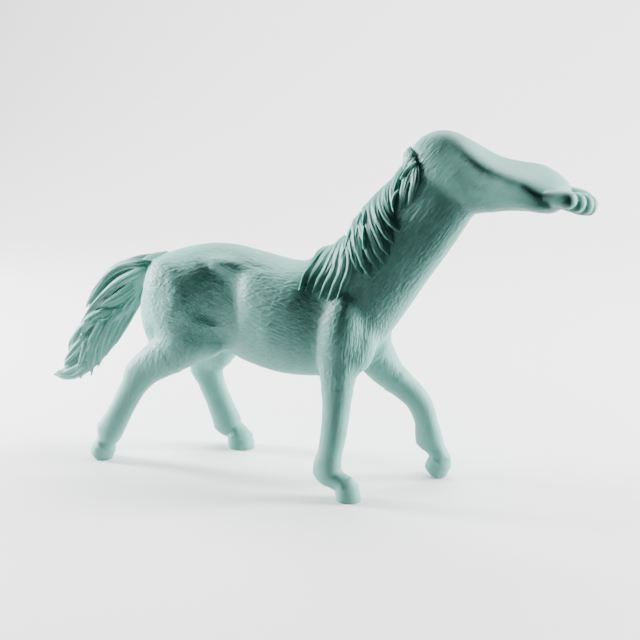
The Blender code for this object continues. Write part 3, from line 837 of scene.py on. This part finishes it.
def mintPlastic(finishAndPaintedLight):
    material = bpy.data.materials.new("mintPlastic")
    material.use_nodes = True
    nodes, links = material.node_tree.nodes, material.node_tree.links
    shader = nodes["Principled BSDF"]
    shader.inputs["Roughness"].default_value = finishAndPaintedLight["roughness"]
    shader.inputs["Specular IOR Level"].default_value = finishAndPaintedLight["shine"]
    shader.inputs["Subsurface Weight"].default_value = finishAndPaintedLight["glowShare"]
    shader.inputs["Subsurface Radius"].default_value = finishAndPaintedLight["glowReach"]
    shader.inputs["Subsurface Scale"].default_value = finishAndPaintedLight["glowDepth"]
    coords = nodes.new("ShaderNodeTexCoord")
    mottle = nodes.new("ShaderNodeTexNoise")
    mottle.inputs["Scale"].default_value = finishAndPaintedLight["mottleScale"]
    mottle.inputs["Detail"].default_value = 4
    links.new(coords.outputs["Object"], mottle.inputs["Vector"])
    tone = nodes.new("ShaderNodeValToRGB")
    stops = zip(tone.color_ramp.elements, finishAndPaintedLight["mottleRange"], (finishAndPaintedLight["deep"], finishAndPaintedLight["base"]))
    for stop, position, shade in stops:
        stop.position = position
        stop.color = (*shade, 1)
    links.new(mottle.outputs["Fac"], tone.inputs["Fac"])
    # the relief paints a highlight on the crests and shade in the grooves
    paintedLightMask = nodes.new("ShaderNodeAttribute")
    paintedLightMask.attribute_name = "relief"
    colour = tinted(nodes, links, paintedLightMask.outputs["Fac"], finishAndPaintedLight["paintedCrestHighlightShare"],
                    tone.outputs["Color"], finishAndPaintedLight["paintedCrestHighlight"])
    colour = tinted(nodes, links, paintedLightMask.outputs["Fac"], -finishAndPaintedLight["paintedGrooveShadeShare"],
                    colour, finishAndPaintedLight["paintedGrooveShade"])
    links.new(colour, shader.inputs["Base Color"])
    wave = nodes.new("ShaderNodeTexNoise")
    wave.inputs["Scale"].default_value = finishAndPaintedLight["curlScale"]
    links.new(coords.outputs["Object"], wave.inputs["Vector"])
    curl = nodes.new("ShaderNodeVectorMath")
    curl.operation = "MULTIPLY_ADD"
    curl.inputs[1].default_value = (finishAndPaintedLight["hairCurl"],) * 3
    links.new(wave.outputs["Color"], curl.inputs[0])
    links.new(coords.outputs["Object"], curl.inputs[2])
    lies = nodes.new("ShaderNodeAttribute")
    lies.attribute_name = "lieOfHair"
    shares = nodes.new("ShaderNodeSeparateXYZ")
    links.new(lies.outputs["Vector"], shares.inputs["Vector"])
    streaks = {key: strokes(nodes, links, curl.outputs["Vector"], turn, finishAndPaintedLight)
               for key, turn in finishAndPaintedLight["hairLies"].items()}
    hair = blend(nodes, links, shares.outputs["X"], streaks["back"], streaks["neck"])
    hair = blend(nodes, links, shares.outputs["Y"], hair, streaks["down"])
    bump = nodes.new("ShaderNodeBump")
    bump.inputs["Distance"].default_value = finishAndPaintedLight["hairDepth"]
    links.new(shares.outputs["Z"], bump.inputs["Strength"])
    links.new(hair, bump.inputs["Height"])
    links.new(bump.outputs["Normal"], shader.inputs["Normal"])
    return material


def markLie(thing, neck=None, down=None, strength=None):
    # how much of the hair at each place lies down the neck, straight down, and how strongly
    places, normals = readOut(thing.data, "co"), readOut(thing.data, "normal")
    onNeck, onLegs, onChest = hairRegions(places)
    shares = np.zeros((len(places), 3))
    shares[:, 0] = onNeck if neck is None else neck
    shares[:, 1] = np.maximum(onLegs, onChest) if down is None else down
    shares[:, 2] = strengthOfHair(places, normals) if strength is None else strength
    marks = thing.data.attributes.new("lieOfHair", "FLOAT_VECTOR", "POINT")
    marks.data.foreach_set("vector", shares.astype(np.float32).ravel())


markLie(body)
markLie(mane, 0, 1, 0.5)
markLie(tail, 1, 0, 0.5)
mint = mintPlastic(mintFinishAndPaintedLight)
for piece in (body, mane, tail):
    piece.data.transform(Matrix.Scale(metre, 4))
    piece.data.shade_smooth()
    piece.data.materials.clear()
    piece.data.materials.append(mint)
    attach(piece, "root")
    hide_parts("horse")
print("mint plastic put on")


# Studio: pale sweep of paper, a soft lamp over the figure, one at each end of it and one
# for the wall

studio = {
    "paper": (0.77, 0.77, 0.785),
    "paperRoughness": 0.6,
    "front": -0.14,  # where the table that throws light back at the figure ends, in metres
    "floorBack": 0.75,  # how far behind the figure the paper starts to rise
    "bend": 0.5,
    "wallTop": 2.2,
    "world": (0.80, 0.82, 0.84),
    "worldStrength": 0.07,
    "halfWidth": 4.0,
    "frontReach": 3.0,
    # name, place and aim as metres to the right, away from the camera and up, width, height,
    # watts
    "lights": [
        ("tailEnd", (-0.85, 0.30, 0.30), (0, 0, 0.12), 0.2, 0.3, 42),
        ("overhead", (0.0, 0.55, 1.1), (0, 0, 0.12), 1.1, 0.5, 30),
        ("chestEnd", (0.92, -0.02, 0.22), (0, 0, 0.12), 0.3, 0.3, 22),
        ("wall", (2.0, 0.4, 1.3), (1.4, 1.25, 0.3), 1.0, 0.6, 150),
    ],
}
cameraSetup = {
    "place": (0.3914, -0.8072, 0.3433),
    "turn": (75.1, 0.0, 25.0),
    "lens": 81.17,
    "sensor": 36.0,
}
heading = math.radians(cameraSetup["turn"][2])
toRight = Vector((math.cos(heading), math.sin(heading), 0))
away = Vector((-math.sin(heading), math.cos(heading), 0))


def seenFrom(right, back, up):
    # place in the room from metres to the right of the figure, behind it and up
    return toRight * right + away * back + Vector((0, 0, up))


def paperSweep():
    # floor that bends up into a wall behind the figure; in front of the table's end it is
    # only seen and throws no light back
    profile = [(studio["front"], 0.0), (studio["floorBack"], 0.0)]
    for k in range(1, 25):
        angle = math.pi / 2 * k / 24
        profile.append((studio["floorBack"] + studio["bend"] * math.sin(angle),
                        studio["bend"] * (1 - math.cos(angle))))
    profile.append((studio["floorBack"] + studio["bend"], studio["wallTop"]))
    surface = bpy.data.materials.new("palePaper")
    surface.use_nodes = True
    shader = surface.node_tree.nodes["Principled BSDF"]
    shader.inputs["Base Color"].default_value = (*studio["paper"], 1)
    shader.inputs["Roughness"].default_value = studio["paperRoughness"]
    front = [(-studio["frontReach"], 0.0), profile[0]]
    edges = (-studio["halfWidth"], studio["halfWidth"])
    for name, line in (("table", profile), ("frontPaper", front)):
        bm = bmesh.new()
        rows = [[bm.verts.new(seenFrom(side, reach, up)) for side in edges]
                for reach, up in line]
        for lower, upper in zip(rows, rows[1:]):
            bm.faces.new((lower[0], lower[1], upper[1], upper[0]))
        paper = meshObject(bm, name)
        paper.data.shade_smooth()
        paper.data.materials.append(surface)
    paper.visible_diffuse = False
    paper.visible_glossy = False


def softBox(name, place, aim, width, height, watts):
    lamp = bpy.data.lights.new(name, "AREA")
    lamp.shape = "RECTANGLE"
    lamp.size = width
    lamp.size_y = height
    lamp.energy = watts
    thing = bpy.data.objects.new(name, lamp)
    thing.location = place
    thing.rotation_euler = (aim - place).to_track_quat("-Z", "Y").to_euler()
    bpy.context.scene.collection.objects.link(thing)


paperSweep()
for name, place, aim, width, height, watts in studio["lights"]:
    softBox(name, seenFrom(*place), seenFrom(*aim), width, height, watts)
world = bpy.data.worlds.new("paleRoom")
world.use_nodes = True
backdrop = world.node_tree.nodes["Background"]
backdrop.inputs["Color"].default_value = (*studio["world"], 1)
backdrop.inputs["Strength"].default_value = studio["worldStrength"]
bpy.context.scene.world = world
print("studio lit")

lens = bpy.data.cameras.new("camera")
lens.lens = cameraSetup["lens"]
lens.sensor_width = cameraSetup["sensor"]
camera = bpy.data.objects.new("camera", lens)
camera.location = cameraSetup["place"]
camera.rotation_euler = [math.radians(v) for v in cameraSetup["turn"]]
bpy.context.scene.collection.objects.link(camera)
bpy.context.scene.camera = camera
